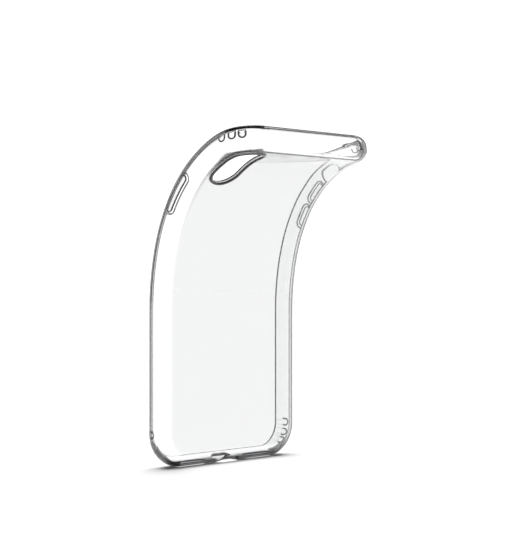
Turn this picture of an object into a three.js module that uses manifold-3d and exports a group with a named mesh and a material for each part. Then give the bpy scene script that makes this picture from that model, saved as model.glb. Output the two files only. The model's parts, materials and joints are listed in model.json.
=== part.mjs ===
// Clear flexible phone case, peeled back from its top end.
// Millimetres, +Z up. The case stands on its bottom wall, its back faces -Y and its pocket opens to +Y.
// Along the case "length" runs from the bottom wall (0) to the top wall, "height" from the outer face of
// the back panel (0) to the front lip. Each slice of the case is drawn flat and turned on its hinge line,
// which lies at the middle of the walls' height: the panel draws together there and the lips stretch.
import * as THREE from 'three';
import { mergeVertices } from 'three/addons/utils/BufferGeometryUtils.js';
import Module from 'manifold-3d';

// Phone that the pocket holds, and the stretch-fit shell around it
const PHONE_WIDTH = 75.7;
const PHONE_LENGTH = 150.9;
const WALL = 1.2;
const WIDTH = PHONE_WIDTH + 2 * WALL;
const LENGTH = PHONE_LENGTH + 2 * WALL;
const HALF_WIDTH = WIDTH / 2;

// Side wall section: two quarter rounds joined by a short flat, ending in the front lip
const EDGE_RADIUS = 4.6;
const WALL_FLAT = 1.2;
const LIP_ANGLE = THREE.MathUtils.degToRad(78);
const WALL_STRIP = 4.65;
const CORNER_RADIUS = 13.5;
const MID_HEIGHT = EDGE_RADIUS + WALL_FLAT / 2;

// The moulding is divided where it flexes, with a narrow joint line between neighbouring zones
const JOINT_GAP = 0.3;
const EDGE_GAP = JOINT_GAP / 2;
const PANEL_HALF_WIDTH = HALF_WIDTH - WALL_STRIP - JOINT_GAP;

// Segments of a wall's quarter round, of a button's or an opening's round end, and of a whole corner ring
const ARC_STEPS = 5;
const END_STEPS = 2 * ARC_STEPS;
const PANEL_STEPS = 3 * ARC_STEPS;
const CORNER_STEPS = 32;
const MERGE_DISTANCE = 1e-4;

// Cutting solids run this far past the case, and up to CUT_TOP above the panel
const OVERSIZE = 2;
const CUT_TOP = 3 * MID_HEIGHT;

// Peel: the case is straight up to BEND_START and then curls to BEND_TOTAL degrees at the top wall.
// Below the hinge lines the joint lines are cut wide enough for PEEL_ROOM times each hinge's turn.
const BEND_START = 48;
const BEND_TOTAL = 94.3;
const BEND_POWER = 1.83;
const PEEL_ROOM = 1.3;
const HINGES = [66, 76, 86, 96, 108, 120, 132, 140];
const ZONE_ENDS = [...HINGES, LENGTH];

// Camera opening in the panel, a long round-ended hole with a raised lip
const CAMERA_X = -26.5;
const CAMERA_LOW = 119.6;
const CAMERA_HIGH = 146.5;
const CAMERA_RADIUS = 6.3;
const CAMERA_LIP = 1.1;
const CAMERA_LIP_RISE = 0.6;

// Button covers sit in windows of the side walls and travel inwards
const COVER_WIDTH = 3.2;
const COVER_PROUD = 0.5;
const COVER_DEPTH = 2.0;
const COVER_BEVEL = 0.35;
const COVER_GAP = 0.4;
const POWER = { low: 101, high: 117.4 };
const VOLUME_DOWN = { low: 97.4, high: 106.6 };
const VOLUME_UP = { low: 109.4, high: 118.6 };
const POWER_SWING = 2;
const MUTE = { low: 121.3, high: 130.7, width: 6 };

// Openings of the bottom wall
const PORT_LENGTH = 12.4;
const PORT_WIDTH = 6.4;
const SLOT_LENGTH = 15.5;
const SLOT_WIDTH = 3;
const SLOT_X = 19.25;
const WALL_CUT_DEPTH = 3.6;

// Cushion ribs inside each corner, which hold the phone's corner off the wall. Angles start at the side wall.
const RIB_ANGLES = [5, 21, 38];
const RIB_WIDTH = 2.5;
const RIB_LOW = 5.3;
const RIB_HIGH = 8.6;
const RIB_PROUD = 0.4;

const CLEAR = { color: 0xeef1f2, roughness: 0.12, metalness: 0, transparent: true, opacity: 0.35 };
const BUTTON = { color: 0xe2e6e8, roughness: 0.2, metalness: 0, transparent: true, opacity: 0.45 };
const LIP = { color: 0xd5dadd, roughness: 0.15, metalness: 0, transparent: true, opacity: 0.5 };

const wasm = await Module();
wasm.setup();

function solid(geometry) {
  const bare = geometry.clone();
  bare.deleteAttribute('normal');
  bare.deleteAttribute('uv');
  const merged = mergeVertices(bare, MERGE_DISTANCE);
  return new wasm.Manifold(new wasm.Mesh({
    numProp: 3,
    vertProperties: new Float32Array(merged.attributes.position.array),
    triVerts: new Uint32Array(merged.index.array),
  }));
}

function geometryOf(manifold) {
  const mesh = manifold.getMesh();
  const geometry = new THREE.BufferGeometry();
  geometry.setAttribute('position', new THREE.BufferAttribute(mesh.vertProperties, 3));
  geometry.setIndex(new THREE.BufferAttribute(mesh.triVerts, 1));
  return geometry;
}

function piece(name, manifold, look) {
  const mesh = new THREE.Mesh(geometryOf(manifold), new THREE.MeshStandardMaterial(look));
  mesh.name = name;
  return mesh;
}

// An upright-sided block between two corners
function block(low, high) {
  const size = new THREE.Vector3().subVectors(high, low);
  const centre = new THREE.Vector3().addVectors(low, high).multiplyScalar(0.5);
  return solid(new THREE.BoxGeometry(size.x, size.y, size.z).translate(centre.x, centre.y, centre.z));
}

// Everything between two hinge lines, each given as its length and its turn in the peeled case. The ends
// are square above the hinge lines and lean apart below them.
function zoneBetween(low, lowTurn, high, highTurn) {
  const foot = -OVERSIZE;
  const lean = (turn) => (MID_HEIGHT - foot) * Math.tan((turn * PEEL_ROOM) / 2);
  const start = low + EDGE_GAP;
  const end = high - EDGE_GAP;
  const shape = new THREE.Shape();
  shape.moveTo(start + lean(lowTurn), foot);
  shape.lineTo(end - lean(highTurn), foot);
  shape.lineTo(end, MID_HEIGHT);
  shape.lineTo(end, CUT_TOP);
  shape.lineTo(start, CUT_TOP);
  shape.lineTo(start, MID_HEIGHT);
  shape.closePath();
  const geometry = new THREE.ExtrudeGeometry(shape, { depth: 2 * WIDTH, bevelEnabled: false });
  // shape x becomes the length, the extrusion runs across the case
  return solid(geometry.rotateY(-Math.PI / 2).translate(WIDTH, 0, 0));
}

// The biggest body of a cut that leaves slivers behind
function largest(manifold) {
  return manifold.decompose().sort((a, b) => b.volume() - a.volume())[0];
}

// Wall section: x is minus the distance inwards from the outer face, y is the height
function wallSection() {
  const low = EDGE_RADIUS;
  const high = EDGE_RADIUS + WALL_FLAT;
  const inner = EDGE_RADIUS - WALL;
  const shape = new THREE.Shape();
  shape.moveTo(-WALL_STRIP, 0);
  shape.lineTo(-EDGE_RADIUS, 0);
  shape.absarc(-EDGE_RADIUS, low, EDGE_RADIUS, -Math.PI / 2, 0, false);
  shape.absarc(-EDGE_RADIUS, high, EDGE_RADIUS, 0, LIP_ANGLE, false);
  shape.absarc(-EDGE_RADIUS, high, inner, LIP_ANGLE, 0, true);
  shape.absarc(-EDGE_RADIUS, low, inner, 0, -Math.PI / 2, true);
  shape.lineTo(-WALL_STRIP, WALL);
  shape.closePath();
  return shape;
}

function wallBar(length) {
  return new THREE.ExtrudeGeometry(wallSection(), {
    depth: length, bevelEnabled: false, curveSegments: ARC_STEPS,
  });
}

// Side wall from corner to corner; side is 1 at +X and -1 at -X
function sideWall(side) {
  const low = CORNER_RADIUS + EDGE_GAP;
  const length = LENGTH - 2 * low;
  const bar = wallBar(length);
  if (side < 0) bar.rotateY(Math.PI).translate(-HALF_WIDTH, 0, length);
  else bar.translate(HALF_WIDTH, 0, 0);
  return solid(bar.translate(0, 0, low));
}

// End wall across the case; end is -1 at the bottom and 1 at the top
function endWall(end) {
  const length = WIDTH - 2 * CORNER_RADIUS;
  const bar = wallBar(length);
  if (end < 0) bar.rotateY(Math.PI / 2).translate(-length / 2, 0, 0);
  else bar.rotateY(-Math.PI / 2).translate(length / 2, 0, LENGTH);
  return solid(bar);
}

// Round block with the outer shape of the corners
function cornerForm() {
  const centre = CORNER_RADIUS - EDGE_RADIUS;
  const outline = new THREE.Path();
  outline.moveTo(0, 0);
  outline.lineTo(centre, 0);
  outline.absarc(centre, EDGE_RADIUS, EDGE_RADIUS, -Math.PI / 2, 0, false);
  outline.absarc(centre, EDGE_RADIUS + WALL_FLAT, EDGE_RADIUS, 0, Math.PI / 2, false);
  outline.lineTo(0, 2 * MID_HEIGHT);
  return solid(new THREE.LatheGeometry(outline.getPoints(ARC_STEPS), CORNER_STEPS));
}

// Quarter ring of the wall section with its cushion ribs
function cornerWall(side, end) {
  const profile = wallSection().getPoints(ARC_STEPS);
  const points = profile.map((p) => new THREE.Vector2(CORNER_RADIUS + p.x, p.y));
  if (!points[0].equals(points[points.length - 1])) points.push(points[0].clone());
  const form = cornerForm();
  let ring = solid(new THREE.LatheGeometry(points, CORNER_STEPS));
  for (const angle of RIB_ANGLES) {
    const turn = THREE.MathUtils.degToRad(angle);
    const rib = new THREE.BoxGeometry(RIB_PROUD + WALL / 2, RIB_HIGH - RIB_LOW, RIB_WIDTH);
    rib.translate(CORNER_RADIUS - WALL + (WALL / 2 - RIB_PROUD) / 2, (RIB_LOW + RIB_HIGH) / 2, 0);
    rib.rotateY(side * end > 0 ? -turn : turn);
    if (side < 0) rib.rotateY(Math.PI);
    ring = ring.add(solid(rib).intersect(form));
  }
  const near = new THREE.Vector3(side * EDGE_GAP, -OVERSIZE, end * EDGE_GAP);
  const reach = CORNER_RADIUS + OVERSIZE;
  const far = new THREE.Vector3(side * reach, CUT_TOP, end * reach);
  const quarter = block(near.clone().min(far), near.clone().max(far));
  const x = side * (HALF_WIDTH - CORNER_RADIUS);
  const z = end < 0 ? CORNER_RADIUS : LENGTH - CORNER_RADIUS;
  return ring.intersect(quarter).translate([x, 0, z]);
}

// Round-ended bar lying along y in its own plane
function roundEnded(shape, x, low, high, radius) {
  shape.moveTo(x + radius, low + radius);
  shape.lineTo(x + radius, high - radius);
  shape.absarc(x, high - radius, radius, 0, Math.PI, false);
  shape.lineTo(x - radius, low + radius);
  shape.absarc(x, low + radius, radius, Math.PI, 2 * Math.PI, false);
  return shape;
}

// Flat outline in (x, length) made into a plate between two heights
function plate(shape, bottom, top) {
  const geometry = new THREE.ExtrudeGeometry(shape, {
    depth: top - bottom, bevelEnabled: false, curveSegments: PANEL_STEPS,
  });
  geometry.rotateX(Math.PI / 2).translate(0, top, 0);
  return solid(geometry);
}

// Outline of the whole back panel, round at its four corners
function panelOutline() {
  const low = WALL_STRIP + JOINT_GAP;
  const high = LENGTH - low;
  const radius = CORNER_RADIUS - low;
  const x = PANEL_HALF_WIDTH;
  const shape = new THREE.Shape();
  shape.moveTo(x - radius, low);
  shape.absarc(x - radius, low + radius, radius, -Math.PI / 2, 0, false);
  shape.absarc(x - radius, high - radius, radius, 0, Math.PI / 2, false);
  shape.absarc(radius - x, high - radius, radius, Math.PI / 2, Math.PI, false);
  shape.absarc(radius - x, low + radius, radius, -Math.PI, -Math.PI / 2, false);
  shape.closePath();
  return shape;
}

const lipRadius = CAMERA_RADIUS + CAMERA_LIP;
const cameraRim = plate(
  roundEnded(new THREE.Shape(), CAMERA_X, CAMERA_LOW - CAMERA_LIP, CAMERA_HIGH + CAMERA_LIP, lipRadius),
  -CAMERA_LIP_RISE, WALL);
const cameraHole = plate(
  roundEnded(new THREE.Shape(), CAMERA_X, CAMERA_LOW, CAMERA_HIGH, CAMERA_RADIUS), -OVERSIZE, OVERSIZE);
const cameraClear = plate(
  roundEnded(new THREE.Shape(), CAMERA_X, CAMERA_LOW - CAMERA_LIP - JOINT_GAP,
    CAMERA_HIGH + CAMERA_LIP + JOINT_GAP, lipRadius + JOINT_GAP), -OVERSIZE, OVERSIZE);
const cameraLip = cameraRim.subtract(cameraHole);
const panel = plate(panelOutline(), 0, WALL).subtract(cameraClear);

// Round-ended opening through a side wall, or the bar that fills it
function sideBar(side, low, high, width, depth, proud, bevel) {
  const shape = roundEnded(new THREE.Shape(), 0, low + bevel, high - bevel, width / 2 - bevel);
  const geometry = new THREE.ExtrudeGeometry(shape, {
    depth: depth + proud - 2 * bevel, bevelEnabled: bevel > 0, bevelSize: bevel,
    bevelThickness: bevel, bevelSegments: 1, curveSegments: END_STEPS,
  });
  // shape x becomes height, shape y becomes length, the extrusion runs across the case
  const turn = new THREE.Matrix4().set(0, 0, 1, 0, 1, 0, 0, 0, 0, 1, 0, 0, 0, 0, 0, 1);
  geometry.applyMatrix4(turn);
  const start = side > 0 ? HALF_WIDTH - depth + bevel : -HALF_WIDTH - proud + bevel;
  return solid(geometry.translate(start, MID_HEIGHT, 0));
}

function window(side, span, width) {
  return sideBar(side, span.low - COVER_GAP, span.high + COVER_GAP, width, WALL_CUT_DEPTH, OVERSIZE, 0);
}

function cover(side, span) {
  return sideBar(side, span.low, span.high, COVER_WIDTH, COVER_DEPTH, COVER_PROUD, COVER_BEVEL);
}

// Round-ended opening through the bottom wall
function bottomOpening(x, length, width) {
  const shape = roundEnded(new THREE.Shape(), 0, -length / 2, length / 2, width / 2);
  const geometry = new THREE.ExtrudeGeometry(shape, {
    depth: WALL_CUT_DEPTH + OVERSIZE, bevelEnabled: false, curveSegments: END_STEPS,
  });
  geometry.rotateZ(Math.PI / 2).translate(x, MID_HEIGHT, -OVERSIZE);
  return solid(geometry);
}

// Angle of the panel at a given length, in radians
function bendAt(length) {
  const share = Math.max(0, (length - BEND_START) / (LENGTH - BEND_START));
  return THREE.MathUtils.degToRad(BEND_TOTAL) * share ** BEND_POWER;
}

const coverClear = COVER_WIDTH + 2 * COVER_GAP;
const cuts = {
  left: [],
  right: [
    window(1, VOLUME_DOWN, coverClear),
    window(1, VOLUME_UP, coverClear),
    window(1, { low: MUTE.low + COVER_GAP, high: MUTE.high - COVER_GAP }, MUTE.width),
  ],
};
// The power cover crosses one hinge line, so the wall below that line leaves it room to swing
const powerHinge = HINGES.find((length) => length > POWER.low && length < POWER.high);
const powerWindow = window(-1, POWER, coverClear);
const powerSwing = window(-1, POWER, coverClear).translate([0, POWER_SWING, 0]);
const powerRoom = wasm.Manifold.hull([powerWindow, powerSwing]).intersect(zoneBetween(0, 0, powerHinge, 0));
cuts.left.push(powerWindow, powerRoom);

const sideNames = { left: -1, right: 1 };
const walls = {};
for (const [name, side] of Object.entries(sideNames)) {
  walls[name] = cuts[name].reduce((wall, cut) => wall.subtract(cut), sideWall(side));
}

// Turn of each hinge line in the peeled case
const bends = HINGES.map((low, index) => bendAt((low + ZONE_ENDS[index + 1]) / 2));
const turns = bends.map((bend, index) => bend - (index ? bends[index - 1] : 0));

const caseGroup = new THREE.Group();
const base = new THREE.Group();
caseGroup.add(base);

// Lower tray, which stays straight
const trayZone = zoneBetween(-OVERSIZE, 0, HINGES[0], turns[0]);
base.add(piece('back_panel_lower', panel.intersect(trayZone), CLEAR));
const bottomWall = endWall(-1)
  .subtract(bottomOpening(0, PORT_LENGTH, PORT_WIDTH))
  .subtract(bottomOpening(-SLOT_X, SLOT_LENGTH, SLOT_WIDTH))
  .subtract(bottomOpening(SLOT_X, SLOT_LENGTH, SLOT_WIDTH));
base.add(piece('bottom_wall', bottomWall, CLEAR));
for (const [name, side] of Object.entries(sideNames)) {
  base.add(piece(`corner_bottom_${name}`, cornerWall(side, -1), CLEAR));
  base.add(piece(`side_wall_${name}_lower`, walls[name].intersect(trayZone), CLEAR));
}

// Flexing slices, each hinged on the one below half way up the walls
let parent = base;
let parentPlace = new THREE.Vector3();
HINGES.forEach((low, index) => {
  const high = ZONE_ENDS[index + 1];
  const isTop = index === HINGES.length - 1;
  const slice = new THREE.Group();
  const hinge = new THREE.Vector3(0, MID_HEIGHT, low);
  slice.position.subVectors(hinge, parentPlace);
  slice.rotation.x = turns[index];
  parent.add(slice);
  const place = (name, manifold, look) => {
    slice.add(piece(name, manifold.translate([0, -MID_HEIGHT, -low]), look));
  };
  const zone = isTop
    ? zoneBetween(low, turns[index], LENGTH + OVERSIZE, 0)
    : zoneBetween(low, turns[index], high, turns[index + 1]);
  const label = isTop ? 'top' : `slice_${index + 1}`;

  place(`back_panel_${label}`, largest(panel.intersect(zone)), CLEAR);
  for (const [name, side] of Object.entries(sideNames)) {
    if (isTop) place(`corner_top_${name}`, cornerWall(side, 1).intersect(zone), CLEAR);
    else place(`side_wall_${name}_${label}`, walls[name].intersect(zone), CLEAR);
  }
  if (isTop) place('top_wall', endWall(1), CLEAR);

  const lip = cameraLip.intersect(zone);
  if (!lip.isEmpty()) {
    const bars = lip.decompose();
    bars.sort((a, b) => a.boundingBox().min[0] - b.boundingBox().min[0]);
    const ends = bars.length === 1 ? [''] : ['_outer', '_inner'];
    bars.forEach((bar, i) => place(`camera_lip_${label}${ends[i]}`, bar, LIP));
  }
  if (low <= VOLUME_DOWN.low && high >= VOLUME_DOWN.high) {
    place('volume_down_cover', cover(1, VOLUME_DOWN), BUTTON);
  }
  if (low <= VOLUME_UP.low && high >= VOLUME_UP.high) {
    place('volume_up_cover', cover(1, VOLUME_UP), BUTTON);
    place('power_cover', cover(-1, POWER), BUTTON);
  }
  parent = slice;
  parentPlace = hinge;
});

// Origin on the ground, midway between the foremost and rearmost points
caseGroup.updateMatrixWorld(true);
const extent = new THREE.Box3().setFromObject(caseGroup, true);
base.position.set(-(extent.min.x + extent.max.x) / 2, -(extent.min.y + extent.max.y) / 2, -extent.min.z);

export default caseGroup;
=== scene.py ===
# Clear flexible phone case, peeled back from its top end, on a pale studio floor.
# Shapes are worked out flat, in millimetres: x across, s along the case and t up from the back panel's
# outer face. They are then bent along the case's curve and written in metres.
import json
import math

import bpy
import numpy as np
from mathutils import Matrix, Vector

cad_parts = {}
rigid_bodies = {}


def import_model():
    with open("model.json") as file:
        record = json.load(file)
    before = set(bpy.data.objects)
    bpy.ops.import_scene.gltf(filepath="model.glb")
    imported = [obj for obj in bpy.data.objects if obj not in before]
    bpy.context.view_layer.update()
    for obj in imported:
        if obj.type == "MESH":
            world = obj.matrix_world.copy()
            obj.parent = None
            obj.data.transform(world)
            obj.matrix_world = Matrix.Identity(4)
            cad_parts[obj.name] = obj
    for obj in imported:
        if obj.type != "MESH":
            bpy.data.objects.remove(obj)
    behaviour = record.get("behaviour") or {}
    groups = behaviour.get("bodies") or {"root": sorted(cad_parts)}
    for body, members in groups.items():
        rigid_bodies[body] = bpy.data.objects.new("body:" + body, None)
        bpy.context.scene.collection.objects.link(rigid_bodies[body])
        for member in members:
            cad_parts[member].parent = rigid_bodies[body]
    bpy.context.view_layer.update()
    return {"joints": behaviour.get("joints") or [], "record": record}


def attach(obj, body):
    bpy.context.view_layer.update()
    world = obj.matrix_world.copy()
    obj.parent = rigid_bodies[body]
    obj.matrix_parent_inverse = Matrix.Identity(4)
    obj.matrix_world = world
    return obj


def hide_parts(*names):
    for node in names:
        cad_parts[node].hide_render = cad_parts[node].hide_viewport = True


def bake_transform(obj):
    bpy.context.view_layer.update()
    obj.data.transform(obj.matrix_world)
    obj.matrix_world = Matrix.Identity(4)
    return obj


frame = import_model()

MM = 0.001
FAR = 1e3  # mm, farther than anything on the case

# ---- sizes, flat ----

HALF_WIDTH = 39.05
LENGTH = 153.3
CORNER_RADIUS = 13.5
SIDE_ZONE = 5.0  # what is cut through a wall stays this near the case's outline

# Wall section: a quarter round, a short flat and a shorter round that ends in the front lip
WALL = 1.2
EDGE_RADIUS = 4.6
WALL_FLAT = 1.2
MID_HEIGHT = EDGE_RADIUS + WALL_FLAT / 2
TOP = 2 * MID_HEIGHT
LIP_ANGLE = math.radians(69)

# Camera opening, a long round-ended hole with a raised rim on the outside
HOLE = dict(x=-26.5, low=119.6, high=146.5, radius=6.3)
HOLE_BURIED = 0.3  # the panel's edge lies this far inside the rim
HOLE_CUT_TOP = 3.0
RIM_WIDTH = 1.2
RIM_RISE = 0.6
RIM_ROUND = 0.3
RIM_BLEND = 0.3
RIM_MIDDLE = (WALL - RIM_RISE) / 2

# Button pads in recessed windows of the side walls
PADS = {
    "power": dict(side=-1, low=101.0, high=117.4),
    "volume_down": dict(side=1, low=97.4, high=106.6),
    "volume_up": dict(side=1, low=109.4, high=118.6),
}
PAD_WIDTH = 3.2
PAD_PROUD = 0.5
PAD_SUNK = 0.15
PAD_ROUND = 0.3
PAD_GAP = 0.35
PAD_END_GAP = 0.55
RECESS_DEPTH = 0.75
RECESS_FOOT_BLEND = 0.3
RECESS_EDGE_BLEND = 0.2

# The power pad lies across a hinge line, and is cut in two at this split.
POWER_SPLIT = 111.0

# Openings of the right wall and of the bottom wall
MUTE = dict(low=121.3, high=130.7, width=6.0)
MUTE_BLEND = 0.5
PORT = dict(x=0.0, length=12.4, width=6.4)
SLOT_X = 19.25
SLOTS = [dict(x=x, length=15.5, width=3.0) for x in (-SLOT_X, SLOT_X)]
OPENING_BLEND = 0.45

# Cushion ribs inside each corner, and a fine groove round each outside. Angles start at the side wall.
RIB_ANGLES = [math.radians(a) for a in (2, 21, 38)]
RIB_WIDTH = 2.5
RIB_LOW = 5.3
RIB_HIGH = 7.9
RIB_PROUD = 0.3
RIB_INSET = 0.4
RIB_ROUND = 0.7
RIB_BLEND = 0.4
GROOVE_RADIUS = 0.12
GROOVE_BLEND = 0.15

# ---- looks ----

# Clear plastic, the near-black painted shade on its edges that stands in for the dark that refraction draws
# there, and how much light passes through to the floor
PANEL_TINT = (0.71, 0.713, 0.716)
WALL_TINT = (0.965, 0.967, 0.97)
PAINTED_EDGE_SHADE = (0.001, 0.001, 0.001)
PANEL_SHADE = (0.97, 0.97, 0.97)
WALL_SHADE = (0.05, 0.05, 0.051)
IOR = 1.48
SPECULAR = 0.5
GLOSS_RANGE = (0.6, 1.5)  # times a material's roughness
GLOSS_SCALE = 60.0
GRAIN_HEIGHT = 0.2 * MM

# Painted shade on surfaces seen edge on, for the dark that refraction draws there: the facing value where it
# starts, where it is full, and its most
PANEL_RAMP = (0.3, 1.0, 0.25)
WALL_RAMP = (0.5, 0.86, 0.85)
SIDE_RAMP = (0.26, 0.42, 0.97)
CORNER_RAMP = (0.28, 0.46, 0.97)
ZONE_SHIFT = 0.6  # taken off facing where a zone has ended, so that its dark band narrows away
ZONE_FADE = 3.5
WALL_FADE = 3.0

# Painted shade along the crisp edges, dark lines for the dark that refraction draws there: attribute, half
# width of the black core, half width with its soft sides, in mm
SHELL_SHADE_LINES = [
    ("rib", 0.2, 0.55),
    ("window", 0.08, 0.4),
    ("mute", 0.08, 0.4),
    ("opening", 0.1, 0.5),
    ("rim_back", 0.3, 0.6),
    ("rim_front", 0.12, 0.35),
    ("lip", 0.15, 0.45),
]
PAD_SHADE_LINES = [("pad", 0.1, 0.45)]
WINDOW_LINE_OUT = 0.45
WINDOW_LINE_DEPTH = 0.8 * WALL
PAD_LINE_IN = 0.15
LINE_REACH = 3.0  # distances are kept no farther than this
# Painted highlight: an opaque bright line inside the camera rim
PAINTED_HIGHLIGHT_WIDTHS = (0.2, 0.4)  # half widths of the bright line inside the camera rim

# Studio
STUDIO_WHITE = 1.25
AMBIENT = 0.06
FLOOR_ALBEDO = 0.88
FLOOR_REACH = 6  # m, each way from the middle
DARK_STRIPS = 8
STRIP_EDGE = (0.35, 0.7)
CEILING_EDGE = (0.5, 0.75)
DARKNESS = 0.97  # of the strips and the ceiling


# ---- the bend, from the frame's own flex joints ----

def smoothstep(u):
    u = np.clip(u, 0, 1)
    return u * u * (3 - 2 * u)


def flex_joints():
    joints = [j for j in frame["joints"] if j["name"].startswith("flex_")]
    return sorted(joints, key=lambda j: int(j["name"].split("_")[1]))


class Bend:
    """The case's side view: its angle and place at each length, on the line half way up the walls."""

    STEP = 0.05
    MARGIN = 5.0
    SPREAD = 16.0  # length over which each hinge's turn is spread

    def __init__(self):
        joints = flex_joints()
        self.bodies = [(j["parent"], j["child"]) for j in joints]
        places = np.array([j["pos_m"] for j in joints]) / MM
        # Flat is the low end of each joint's range, so its size is the joint's turn in the peeled case
        turns = np.radians([-j["range_deg"][0] for j in joints])
        # The case is straight up to the first hinge, whose height is its length along the case
        self.hinges = [places[0, 2]]
        for a, b in zip(places[:-1], places[1:]):
            self.hinges.append(self.hinges[-1] + np.linalg.norm(b - a))
        self.hinges = np.array(self.hinges)
        self.middle_y = places[0, 1]
        self.s = np.arange(-self.MARGIN, LENGTH + self.MARGIN, self.STEP)
        self.phi = sum(
            turn * smoothstep((self.s - h) / self.SPREAD + 0.5) for h, turn in zip(self.hinges, turns)
        )
        self.y = self.middle_y - self._integral(np.sin(self.phi))
        self.z = self._integral(np.cos(self.phi))
        self.rate = np.gradient(self.phi, self.s)

    def _integral(self, values):
        steps = (values[1:] + values[:-1]) / 2 * self.STEP
        total = np.concatenate([[0.0], np.cumsum(steps)])
        return total - np.interp(0.0, self.s, total)

    def place(self, points):
        """Flat points (x, s, t) to bent points (x, y, z), all in mm."""
        s, up = points[:, 1], points[:, 2] - MID_HEIGHT
        phi = np.interp(s, self.s, self.phi)
        y = np.interp(s, self.s, self.y) + up * np.cos(phi)
        z = np.interp(s, self.s, self.z) + up * np.sin(phi)
        return np.stack([points[:, 0], y, z], 1)

    def turn(self, points, normals):
        """Flat normals at flat points, turned with the bend."""
        phi = np.interp(points[:, 1], self.s, self.phi)
        stretch = 1 + (points[:, 2] - MID_HEIGHT) * np.interp(points[:, 1], self.s, self.rate)
        along = normals[:, 1] / stretch
        y = -np.sin(phi) * along + np.cos(phi) * normals[:, 2]
        z = np.cos(phi) * along + np.sin(phi) * normals[:, 2]
        turned = np.stack([normals[:, 0], y, z], 1)
        return turned / np.linalg.norm(turned, axis=1)[:, None]

    def cuts(self):
        """Where the shell is divided: half way along each slice between two hinges."""
        return [(a + b) / 2 for a, b in zip(self.hinges[:-1], self.hinges[1:])]


bend = Bend()


# ---- distance fields, flat, in mm: negative inside the plastic ----

def soft_min(a, b, k):
    h = np.clip(0.5 + 0.5 * (b - a) / k, 0, 1)
    return b + (a - b) * h - k * h * (1 - h)


def soft_max(a, b, k):
    return -soft_min(-a, -b, k)


def rounded(a, b, radius):
    """Distance to where two distances are both negative, its edge rounded outwards by the radius."""
    outside = np.hypot(np.maximum(a, 0), np.maximum(b, 0))
    return outside + np.minimum(np.maximum(a, b), 0) - radius


def past_corner(x, s):
    """How far a point is past the start of a corner's round, across and along."""
    return np.abs(x) - (HALF_WIDTH - CORNER_RADIUS), np.abs(s - LENGTH / 2) - (LENGTH / 2 - CORNER_RADIUS)


def inset(x, s):
    """Distance inwards from the case's outline in plan."""
    qx, qs = past_corner(x, s)
    outside = np.hypot(np.maximum(qx, 0), np.maximum(qs, 0))
    inside = np.minimum(np.maximum(qx, qs), 0)
    return CORNER_RADIUS - outside - inside


def capsule(u, v, low, high, radius):
    """Distance outwards from a round-ended bar that lies along v."""
    reach = np.maximum(np.maximum(low + radius - v, v - (high - radius)), 0)
    return np.hypot(u, reach) - radius


def wall_depth(d, t):
    """Distance inwards from the outer skin of the walls and the panel."""
    rise = np.maximum(np.abs(t - MID_HEIGHT) - WALL_FLAT / 2, 0)
    return EDGE_RADIUS - np.hypot(np.maximum(EDGE_RADIUS - d, 0), rise)


def tray(x, s, t):
    """Panel, rounded walls and front lip as one skin of even thickness with round edges."""
    half = WALL / 2
    middle = EDGE_RADIUS - half
    across = EDGE_RADIUS - inset(x, s)
    rise = t - MID_HEIGHT
    beyond = np.sign(rise) * np.maximum(np.abs(rise) - WALL_FLAT / 2, 0)
    to_lip = np.hypot(across - middle * math.cos(LIP_ANGLE), beyond - middle * math.sin(LIP_ANGLE))
    past_lip = (beyond > 0) & (np.arctan2(beyond, across) > LIP_ANGLE)
    ring = np.where(past_lip, to_lip, np.abs(np.hypot(across, beyond) - middle))
    floor = np.minimum(np.abs(t - half), to_lip)
    return np.where(across <= 0, floor, ring) - half


def rib_outlines(x, s, t):
    """Distance outwards from the nearest rib's outline: U shapes, open towards the front lip."""
    qx, qs = past_corner(x, s)
    angle = np.arctan2(qs, qx)
    around = CORNER_RADIUS - WALL
    best = np.full_like(x, FAR)
    for a in RIB_ANGLES:
        best = np.minimum(best, capsule((angle - a) * around, t, RIB_LOW, TOP, RIB_WIDTH / 2))
    return np.where((qx > 0) & (qs > -RIB_WIDTH), best, FAR)


def opening_outlines(x, s, t):
    """Distance outwards from the bottom wall's openings."""
    best = np.full_like(x, FAR)
    for hole in [PORT, *SLOTS]:
        reach = hole["length"] / 2
        best = np.minimum(best, capsule(t - MID_HEIGHT, x - hole["x"], -reach, reach, hole["width"] / 2))
    return np.where(s < SIDE_ZONE, best, FAR)


def window_outlines(x, s, t):
    """Distance outwards from the button windows."""
    best = np.full_like(x, FAR)
    for pad in PADS.values():
        low, high = pad["low"] - PAD_END_GAP, pad["high"] + PAD_END_GAP
        outline = capsule(t - MID_HEIGHT, s, low, high, PAD_WIDTH / 2 + PAD_GAP)
        best = np.where(x * pad["side"] > HALF_WIDTH - SIDE_ZONE, np.minimum(best, outline), best)
    return best


def mute_outline(x, s, t):
    outline = capsule(t - MID_HEIGHT, s, MUTE["low"], MUTE["high"], MUTE["width"] / 2)
    return np.where(x > HALF_WIDTH - SIDE_ZONE, outline, FAR)


def hole_outline(x, s):
    return capsule(x - HOLE["x"], s, HOLE["low"], HOLE["high"], HOLE["radius"])


def ribs_and_grooves(x, s, t, depth):
    """Cushion ribs on the inner face of each corner wall, and the groove round each on its outer face."""
    outline = np.maximum(rib_outlines(x, s, t), t - RIB_HIGH)
    ribs = soft_max(outline + RIB_INSET, np.abs(depth - WALL) - RIB_PROUD, RIB_ROUND)
    return ribs, np.hypot(outline, depth) - GROOVE_RADIUS


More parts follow.
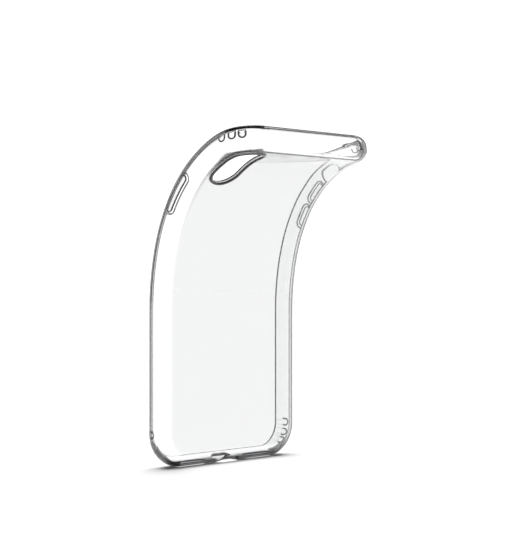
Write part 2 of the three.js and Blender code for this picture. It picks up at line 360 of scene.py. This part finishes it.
def shell(p):
    """The whole moulding apart from the button pads."""
    x, s, t = p[..., 0], p[..., 1], p[..., 2]
    depth = wall_depth(inset(x, s), t)
    ribs, grooves = ribs_and_grooves(x, s, t, depth)
    body = soft_min(tray(x, s, t), ribs, RIB_BLEND)
    body = soft_max(body, -grooves, GROOVE_BLEND)

    hole = hole_outline(x, s)
    body = np.maximum(body, np.where(t < HOLE_CUT_TOP, HOLE_BURIED - hole, -FAR))
    across = np.abs(hole - RIM_WIDTH / 2) - (RIM_WIDTH / 2 - RIM_ROUND)
    upright = np.abs(t - RIM_MIDDLE) - ((WALL + RIM_RISE) / 2 - RIM_ROUND)
    body = soft_min(body, rounded(across, upright, RIM_ROUND), RIM_BLEND)

    recess = soft_max(window_outlines(x, s, t), depth - RECESS_DEPTH, RECESS_FOOT_BLEND)
    body = soft_max(body, -recess, RECESS_EDGE_BLEND)
    body = soft_max(body, -mute_outline(x, s, t), MUTE_BLEND)
    return soft_max(body, -opening_outlines(x, s, t), OPENING_BLEND)


def pad_field(pad):
    def field(p):
        x, s, t = p[..., 0], p[..., 1], p[..., 2]
        depth = wall_depth(inset(x, s), t)
        low, high = pad["low"] + PAD_ROUND, pad["high"] - PAD_ROUND
        plan = capsule(t - MID_HEIGHT, s, low, high, PAD_WIDTH / 2 - PAD_ROUND)
        upright = np.abs(depth - (PAD_SUNK - PAD_PROUD) / 2) - ((PAD_PROUD + PAD_SUNK) / 2 - PAD_ROUND)
        return rounded(plan, upright, PAD_ROUND)
    return field


# ---- distances that the materials draw their painted shade lines, painted highlight and zones from ----

def only(there, distance):
    """The distance where it counts. Elsewhere it is far, but on the same side, so that no line is drawn."""
    return np.where(there, distance, np.copysign(FAR, distance))


def shell_lines(p):
    """Distances to the moulding's crisp edges, where the material paints dark lines of shade, and to the
    middle of the camera rim's inner wall, where it paints a highlight, and how far each point belongs to
    each zone, from 0 to 1.
    """
    x, s, t = p[..., 0], p[..., 1], p[..., 2]
    d = inset(x, s)
    depth = wall_depth(d, t)
    outer_half = depth < WALL / 2
    down_to_recess = depth < WINDOW_LINE_DEPTH
    hole = hole_outline(x, s)
    off_rim = np.maximum(np.abs(hole - RIM_WIDTH / 2) - RIM_WIDTH / 2, 0)
    across = EDGE_RADIUS - d
    lip_angle = np.arctan2(t - MID_HEIGHT - WALL_FLAT / 2, np.maximum(across, 0.01))
    lip = (LIP_ANGLE - lip_angle) * (EDGE_RADIUS - WALL / 2) + WALL / 2
    side, end = [smoothstep(q / ZONE_FADE) for q in past_corner(x, s)]
    return {
        "rib": only(outer_half & (t < RIB_HIGH), rib_outlines(x, s, t)),
        "window": only(down_to_recess, window_outlines(x, s, t) - WINDOW_LINE_OUT),
        "mute": mute_outline(x, s, t),
        "opening": opening_outlines(x, s, t),
        "rim_back": np.hypot(off_rim, t + RIM_RISE),
        "rim_front": np.hypot(hole, t - WALL),
        "gleam": np.hypot(hole, t - RIM_MIDDLE),
        "lip": np.where(t > MID_HEIGHT, lip, FAR),
        "wall": smoothstep(across / WALL_FADE + 0.5),
        "upright": side,
        "corner": side * end,
    }


# Distance to the pad's outline, along which the material paints a dark line of shade
def pad_lines(pad, p):
    outline = capsule(p[..., 2] - MID_HEIGHT, p[..., 1], pad["low"], pad["high"], PAD_WIDTH / 2)
    return {
        "pad": outline + PAD_LINE_IN,
        "gleam": np.full(len(p), FAR),
        "wall": np.ones(len(p)),
        "upright": np.zeros(len(p)),
        "corner": np.zeros(len(p)),
    }


# ---- surface of a field: one vertex in each cell the surface crosses, pulled onto it ----

SLOPE_STEP = 0.01
SETTLE_ROUNDS = 3
LEAST_SLOPE_SQUARED = 0.2
LONGEST_MOVE = 0.25
TINY = 1e-9  # keeps a division by a length of nought from failing


def surface(field, axes):
    """(points, normals, quads) of the field's zero surface, on a grid with these three axes."""
    grid = np.stack(np.meshgrid(*axes, indexing="ij"), -1)
    values = field(grid)
    inside = values < 0
    shape = [n - 1 for n in values.shape]
    total = np.zeros(shape + [3])
    count = np.zeros(shape)
    for axis in range(3):
        a = [slice(None)] * 3
        b = [slice(None)] * 3
        a[axis], b[axis] = slice(0, -1), slice(1, None)
        va, vb = values[tuple(a)], values[tuple(b)]
        crossed = inside[tuple(a)] != inside[tuple(b)]
        share = np.where(crossed, va / np.where(crossed, va - vb, 1), 0)
        place = grid[tuple(a)] + (grid[tuple(b)] - grid[tuple(a)]) * share[..., None]
        others = [n for n in range(3) if n != axis]
        for i in (0, 1):
            for j in (0, 1):
                pick = [slice(None)] * 3
                pick[others[0]] = slice(i, i + shape[others[0]])
                pick[others[1]] = slice(j, j + shape[others[1]])
                hit = crossed[tuple(pick)]
                total += np.where(hit[..., None], place[tuple(pick)], 0)
                count += hit
    used = count > 0
    index = np.full(shape, -1)
    index[used] = np.arange(used.sum())
    points, normals = settle(field, total[used] / count[used][:, None])
    return points, normals, crossing_quads(inside, index)


def crossing_quads(inside, index):
    """A face between the four cells round each grid edge that the surface crosses."""
    quads = []
    for axis in range(3):
        others = [n for n in range(3) if n != axis]
        a = [slice(1, -1)] * 3
        b = [slice(1, -1)] * 3
        a[axis], b[axis] = slice(0, -1), slice(1, None)
        ia, ib = inside[tuple(a)], inside[tuple(b)]
        cells = []
        for i, j in ((0, 0), (1, 0), (1, 1), (0, 1)):
            pick = [slice(None)] * 3
            pick[others[0]] = slice(i, i + inside.shape[others[0]] - 2)
            pick[others[1]] = slice(j, j + inside.shape[others[1]] - 2)
            cells.append(index[tuple(pick)])
        ring = np.stack(cells, -1)
        out = ring[ia & ~ib]
        back = ring[~ia & ib][:, ::-1]
        if axis == 1:
            # The other two axes run x, t here, the wrong way round for faces that look outwards
            out, back = out[:, ::-1], back[:, ::-1]
        quads += [out, back]
    return np.concatenate(quads)


def slope(field, points):
    columns = []
    for axis in range(3):
        offset = np.zeros(3)
        offset[axis] = SLOPE_STEP
        columns.append((field(points + offset) - field(points - offset)) / (2 * SLOPE_STEP))
    return np.stack(columns, -1)


def settle(field, points):
    """The points moved onto the surface, and their normals."""
    for _ in range(SETTLE_ROUNDS):
        gradient = slope(field, points)
        size = np.maximum((gradient ** 2).sum(-1), LEAST_SLOPE_SQUARED)
        move = gradient * (field(points) / size)[:, None]
        length = np.linalg.norm(move, axis=1)
        points = points - move * np.minimum(1, LONGEST_MOVE / np.maximum(length, TINY))[:, None]
    gradient = slope(field, points)
    return points, gradient / np.maximum(np.linalg.norm(gradient, axis=1), TINY)[:, None]


def spaced(low, high, bands, coarse):
    """Grid places from low to high: coarse steps, but fine ones inside each (from, to, step) band."""
    places = [low]
    nudge = 1e-6  # past the last place, so that a band that starts there counts
    while places[-1] < high:
        here = places[-1] + nudge
        step = min([b[2] for b in bands if b[0] <= here < b[1]] or [coarse])
        ahead = [b[0] for b in bands if here < b[0] < here + step and b[2] < step]
        places.append(min(ahead + [places[-1] + step]))
    return np.array(places)


# ---- materials ----

def node(tree, kind, **values):
    made = tree.nodes.new(kind)
    for name, value in values.items():
        if name in made.inputs:
            made.inputs[name].default_value = value
        else:
            setattr(made, name, value)
    return made


def maths(tree, operation, *values):
    made = node(tree, "ShaderNodeMath", operation=operation)
    for socket, value in zip(made.inputs, values):
        if isinstance(value, (int, float)):
            socket.default_value = value
        else:
            tree.links.new(value, socket)
    return made.outputs[0]


def attribute(tree, name):
    return node(tree, "ShaderNodeAttribute", attribute_name=name).outputs["Fac"]


def eased(tree, value, low, high, to_low=0.0, to_high=1.0):
    made = node(tree, "ShaderNodeMapRange", interpolation_type="SMOOTHSTEP")
    made.inputs["From Min"].default_value = low
    made.inputs["From Max"].default_value = high
    made.inputs["To Min"].default_value = to_low
    made.inputs["To Max"].default_value = to_high
    tree.links.new(value, made.inputs["Value"])
    return made.outputs["Result"]


def mixed(tree, share, first, second):
    """Mix of two colours, each an RGB tuple or another node's output."""
    made = node(tree, "ShaderNodeMix", data_type="RGBA")
    tree.links.new(share, made.inputs[0])
    for socket, colour in ((made.inputs[6], first), (made.inputs[7], second)):
        if isinstance(colour, tuple):
            socket.default_value = (*colour, 1)
        else:
            tree.links.new(colour, socket)
    return made.outputs[2]


def painted_shade_share(tree, wall, edges):
    """How much painted shade each place gets, from 0 to 1: where it is seen edge on, and along its crisp
    edges, for the dark that refraction draws there.
    """
    facing = node(tree, "ShaderNodeLayerWeight", Blend=0.5).outputs["Facing"]

    def edge_on(value, ramp):
        low, high, most = ramp
        return eased(tree, value, low, high, 0.0, most)

    on_wall = maths(tree, "MULTIPLY", edge_on(facing, WALL_RAMP), wall)
    share = maths(tree, "MAXIMUM", edge_on(facing, PANEL_RAMP), on_wall)
    for zone, ramp in (("upright", SIDE_RAMP), ("corner", CORNER_RAMP)):
        past_end = maths(tree, "SUBTRACT", attribute(tree, zone), 1.0)
        shifted = maths(tree, "ADD", facing, maths(tree, "MULTIPLY", past_end, ZONE_SHIFT))
        band = maths(tree, "MULTIPLY", edge_on(shifted, ramp), wall)
        share = maths(tree, "MAXIMUM", share, band)
    # Painted dark lines of shade along the crisp edges
    for edge, core, soft in edges:
        distance = maths(tree, "ABSOLUTE", attribute(tree, edge))
        share = maths(tree, "MAXIMUM", share, eased(tree, distance, core, soft, 1.0, 0.0))
    return share


def moulded_grain(tree, glass, roughness, grain, grain_scale):
    """Uneven gloss and a very fine relief, as a moulding has."""
    place = node(tree, "ShaderNodeTexCoord")
    cloud = node(tree, "ShaderNodeTexNoise", Scale=GLOSS_SCALE, Detail=3.0)
    tree.links.new(place.outputs["Object"], cloud.inputs["Vector"])
    rough = node(tree, "ShaderNodeMapRange")
    rough.inputs["To Min"].default_value = roughness * GLOSS_RANGE[0]
    rough.inputs["To Max"].default_value = roughness * GLOSS_RANGE[1]
    tree.links.new(cloud.outputs["Fac"], rough.inputs["Value"])
    tree.links.new(rough.outputs["Result"], glass.inputs["Roughness"])

    fine = node(tree, "ShaderNodeTexNoise", Scale=grain_scale, Detail=2.0)
    tree.links.new(place.outputs["Object"], fine.inputs["Vector"])
    bump = node(tree, "ShaderNodeBump", Strength=grain, Distance=GRAIN_HEIGHT)
    tree.links.new(fine.outputs["Fac"], bump.inputs["Height"])
    tree.links.new(bump.outputs["Normal"], glass.inputs["Normal"])


def clear_plastic(name, panel_tint, edges, roughness, grain, grain_scale):
    """Clear soft plastic with painted shade where it is seen edge on and along its crisp edges, a painted
    highlight where its attributes mark one, and a fine grain.
    """
    material = bpy.data.materials.new(name)
    material.use_nodes = True
    tree = material.node_tree
    tree.nodes.clear()
    glass = node(tree, "ShaderNodeBsdfPrincipled")
    glass.inputs["IOR"].default_value = IOR

    # Painted highlight: the bright line inside the camera rim is never dark and lets no light through
    wall = attribute(tree, "wall")
    clear = eased(tree, attribute(tree, "gleam"), *PAINTED_HIGHLIGHT_WIDTHS)
    share = maths(tree, "MULTIPLY", painted_shade_share(tree, wall, edges), clear)
    tree.links.new(clear, glass.inputs["Transmission Weight"])
    sheen = maths(tree, "SUBTRACT", SPECULAR, maths(tree, "MULTIPLY", share, SPECULAR))
    tree.links.new(sheen, glass.inputs["Specular IOR Level"])
    body = mixed(tree, wall, panel_tint, WALL_TINT)
    # The body's tint, darkened towards near-black where the painted shade is
    tree.links.new(mixed(tree, share, body, PAINTED_EDGE_SHADE), glass.inputs["Base Color"])
    moulded_grain(tree, glass, roughness, grain, grain_scale)

    # Light for the floor passes straight through, dimmed by the walls much more than by the panel
    ray = node(tree, "ShaderNodeLightPath")
    through = node(tree, "ShaderNodeBsdfTransparent")
    tree.links.new(mixed(tree, wall, PANEL_SHADE, WALL_SHADE), through.inputs["Color"])
    mix = node(tree, "ShaderNodeMixShader")
    tree.links.new(ray.outputs["Is Shadow Ray"], mix.inputs[0])
    tree.links.new(glass.outputs[0], mix.inputs[1])
    tree.links.new(through.outputs[0], mix.inputs[2])
    out = node(tree, "ShaderNodeOutputMaterial")
    tree.links.new(mix.outputs[0], out.inputs["Surface"])
    return material


def plain(name, colour, roughness):
    material = bpy.data.materials.new(name)
    material.use_nodes = True
    shader = material.node_tree.nodes["Principled BSDF"]
    shader.inputs["Base Color"].default_value = (*colour, 1)
    shader.inputs["Roughness"].default_value = roughness
    shader.inputs["Specular IOR Level"].default_value = 0
    return material


# ---- the case ----

def bent_piece(name, flat, normals, quads, lines, material):
    """A piece from a flat surface in mm, with its field's own normals and its lines as attributes."""
    used = np.unique(quads)
    renumber = np.zeros(len(flat), int)
    renumber[used] = np.arange(len(used))
    # Bending swaps two axes, so the faces' corners run the other way
    faces = renumber[quads[:, ::-1]]
    mesh = bpy.data.meshes.new(name)
    mesh.from_pydata((bend.place(flat)[used] * MM).tolist(), [], faces.tolist())
    mesh.polygons.foreach_set("use_smooth", [True] * len(mesh.polygons))
    mesh.normals_split_custom_set_from_vertices(bend.turn(flat, normals)[used].tolist())
    for line, distances in lines.items():
        values = np.clip(distances[used], -LINE_REACH, LINE_REACH)
        mesh.attributes.new(line, "FLOAT", "POINT").data.foreach_set("value", values)
    mesh.materials.append(material)
    piece = bpy.data.objects.new(name, mesh)
    bpy.context.scene.collection.objects.link(piece)
    return piece


def shell_axes():
    """Grid of the shell, fine along the walls, the ends, the camera opening and the buttons."""
    fine, medium, coarse = ((0.3, 0.5, 0.7))
    up_step = 0.26
    margin, under, over = 1.3, 1.4, 1.2
    wall = HALF_WIDTH - EDGE_RADIUS - WALL_FADE / 2
    rim_end = HOLE["x"] + 10
    corner_end = CORNER_RADIUS + 0.5
    buttons_start = PADS["volume_down"]["low"] - 3
    across = spaced(-HALF_WIDTH - margin, HALF_WIDTH + margin, [
        (-FAR, -wall, fine),
        (wall, FAR, fine),
        (-wall, rim_end, fine),
        (-wall, wall, medium),
    ], coarse)
    along = spaced(-margin, LENGTH + margin, [
        (-FAR, corner_end, fine),
        (buttons_start, FAR, fine),
    ], coarse)
    return across, along, np.arange(-under, TOP + over, up_step)


def build_shell():
    points, normals, quads = surface(shell, shell_axes())
    lines = shell_lines(points)
    middle = points[quads][:, :, 1].mean(1)
    cuts = bend.cuts()
    edges = [-math.inf, *cuts, math.inf]
    for k, (low, high) in enumerate(zip(edges[:-1], edges[1:])):
        chosen = quads[(middle >= low) & (middle < high)]
        piece = bent_piece(f"shell_{k + 1}", points, normals, chosen, lines, CLEAR)
        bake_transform(piece)
        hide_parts(*shell_nodes(k))


def shell_nodes(k):
    """CAD nodes that strip k of the shell stands for."""
    nodes_of = frame["record"]["behaviour"]["bodies"]
    below, above = bend.bodies[k]
    nodes = list(nodes_of[above])
    if k == 0:
        nodes += nodes_of[below]
    return nodes


def pad_axes(pad):
    step = 0.2
    margin = 1.0
    near = pad["side"] * HALF_WIDTH
    half = PAD_WIDTH / 2 + margin
    across = np.arange(near - 2 * margin, near + 2 * margin, step)
    along = np.arange(pad["low"] - margin, pad["high"] + margin, step)
    return across, along, np.arange(MID_HEIGHT - half, MID_HEIGHT + half, step)


def build_volume_pad(name):
    pad = PADS[name]
    points, normals, quads = surface(pad_field(pad), pad_axes(pad))
    piece = bent_piece(f"{name}_pad", points, normals, quads, pad_lines(pad, points), PAD)
    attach(piece, f"{name}_button")
    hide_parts(f"{name}_cover")


def build_power_pad():
    pad = PADS["power"]
    points, normals, quads = surface(pad_field(pad), pad_axes(pad))
    lines = pad_lines(pad, points)
    middle = points[quads][:, :, 1].mean(1)

    lower = bent_piece("power_pad_lower", points, normals, quads[middle < POWER_SPLIT], lines, PAD)
    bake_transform(lower)

    upper = bent_piece("power_pad_upper", points, normals, quads[middle >= POWER_SPLIT], lines, PAD)
    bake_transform(upper)
    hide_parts("power_cover")


CLEAR = clear_plastic("clear_tpu", PANEL_TINT, SHELL_SHADE_LINES, roughness=0.02, grain=0.02, grain_scale=900.0)
PAD = clear_plastic("clear_tpu_button", WALL_TINT, PAD_SHADE_LINES, roughness=0.05, grain=0.04, grain_scale=1400.0)
build_shell()
build_power_pad()
build_volume_pad("volume_down")
build_volume_pad("volume_up")


# ---- studio ----

def make_floor():
    reach = FLOOR_REACH
    corners = [(-reach, -reach, 0), (reach, -reach, 0), (reach, reach, 0), (-reach, reach, 0)]
    mesh = bpy.data.meshes.new("floor")
    mesh.from_pydata(corners, [], [(0, 1, 2, 3)])
    mesh.materials.append(plain("floor_white", [FLOOR_ALBEDO] * 3, 1.0))
    floor = bpy.data.objects.new("floor", mesh)
    bpy.context.scene.collection.objects.link(floor)


def make_world():
    """White all round, as the camera sees it, and a dim fill for the floor. The case mirrors and bends the
    same studio with its ceiling dark and with narrow dark strips between its white walls, which draw the
    clear plastic's edges."""
    world = bpy.data.worlds.new("studio")
    bpy.context.scene.world = world
    world.use_nodes = True
    tree = world.node_tree
    tree.nodes.clear()
    place = node(tree, "ShaderNodeTexCoord")
    split = node(tree, "ShaderNodeSeparateXYZ")
    tree.links.new(place.outputs["Generated"], split.inputs[0])

    heading = maths(tree, "ARCTAN2", split.outputs["X"], split.outputs["Y"])
    ripple = maths(tree, "COSINE", maths(tree, "MULTIPLY", heading, DARK_STRIPS))
    strips = eased(tree, maths(tree, "MULTIPLY", ripple, -1.0), *STRIP_EDGE)
    ceiling = eased(tree, split.outputs["Z"], *CEILING_EDGE)
    dark = maths(tree, "MAXIMUM", strips, ceiling)
    dimmed = maths(tree, "MULTIPLY", dark, DARKNESS * STUDIO_WHITE)
    light = maths(tree, "SUBTRACT", STUDIO_WHITE, dimmed)

    ray = node(tree, "ShaderNodeLightPath")
    bounced = maths(tree, "MAXIMUM", ray.outputs["Is Glossy Ray"], ray.outputs["Is Transmission Ray"])
    by_plastic = maths(tree, "MULTIPLY", bounced, light)
    direct = maths(tree, "MULTIPLY", ray.outputs["Is Camera Ray"], STUDIO_WHITE)
    other = maths(tree, "SUBTRACT", 1.0, maths(tree, "MAXIMUM", bounced, ray.outputs["Is Camera Ray"]))
    fill = maths(tree, "MULTIPLY", other, AMBIENT)
    seen = maths(tree, "ADD", maths(tree, "ADD", by_plastic, direct), fill)
    background = node(tree, "ShaderNodeBackground", Strength=1.0)
    tree.links.new(seen, background.inputs["Color"])
    out = node(tree, "ShaderNodeOutputWorld")
    tree.links.new(background.outputs[0], out.inputs["Surface"])


def overhead_light():
    """Very wide, soft light from above and a little from the front. It isn't mirrored in the case, and it
    makes the floor as white as the studio, so that no horizon shows."""
    towards = Vector((0.25, 0.4, 1)).normalized()
    data = bpy.data.lights.new("overhead", "SUN")
    data.angle = math.radians(75)
    data.energy = (STUDIO_WHITE / FLOOR_ALBEDO - AMBIENT) * math.pi / towards.z
    light = bpy.data.objects.new("overhead", data)
    light.rotation_euler = towards.to_track_quat("Z", "Y").to_euler()
    light.visible_glossy = False
    light.visible_transmission = False
    bpy.context.scene.collection.objects.link(light)


def make_camera():
    """Nearly level camera behind the case on its left, turned a little so that the case isn't centred."""
    azimuth = math.radians(46.01)
    distance = 618.19 * MM
    height = 74.66 * MM
    turn = math.radians(1.19)
    tilt = math.radians(0.07)
    data = bpy.data.cameras.new("camera")
    data.sensor_width = 36
    data.lens = 99.95
    data.clip_start = 0.05
    camera = bpy.data.objects.new("camera", data)
    pocket_floor = (bend.middle_y - MID_HEIGHT + WALL) * MM
    camera.location = (-distance * math.sin(azimuth), pocket_floor - distance * math.cos(azimuth), height)
    camera.rotation_euler = (math.radians(90) + tilt, 0, -azimuth - turn)
    bpy.context.scene.collection.objects.link(camera)
    bpy.context.scene.camera = camera


make_floor()
make_world()
overhead_light()
make_camera()
bpy.context.scene.view_settings.view_transform = "Standard"
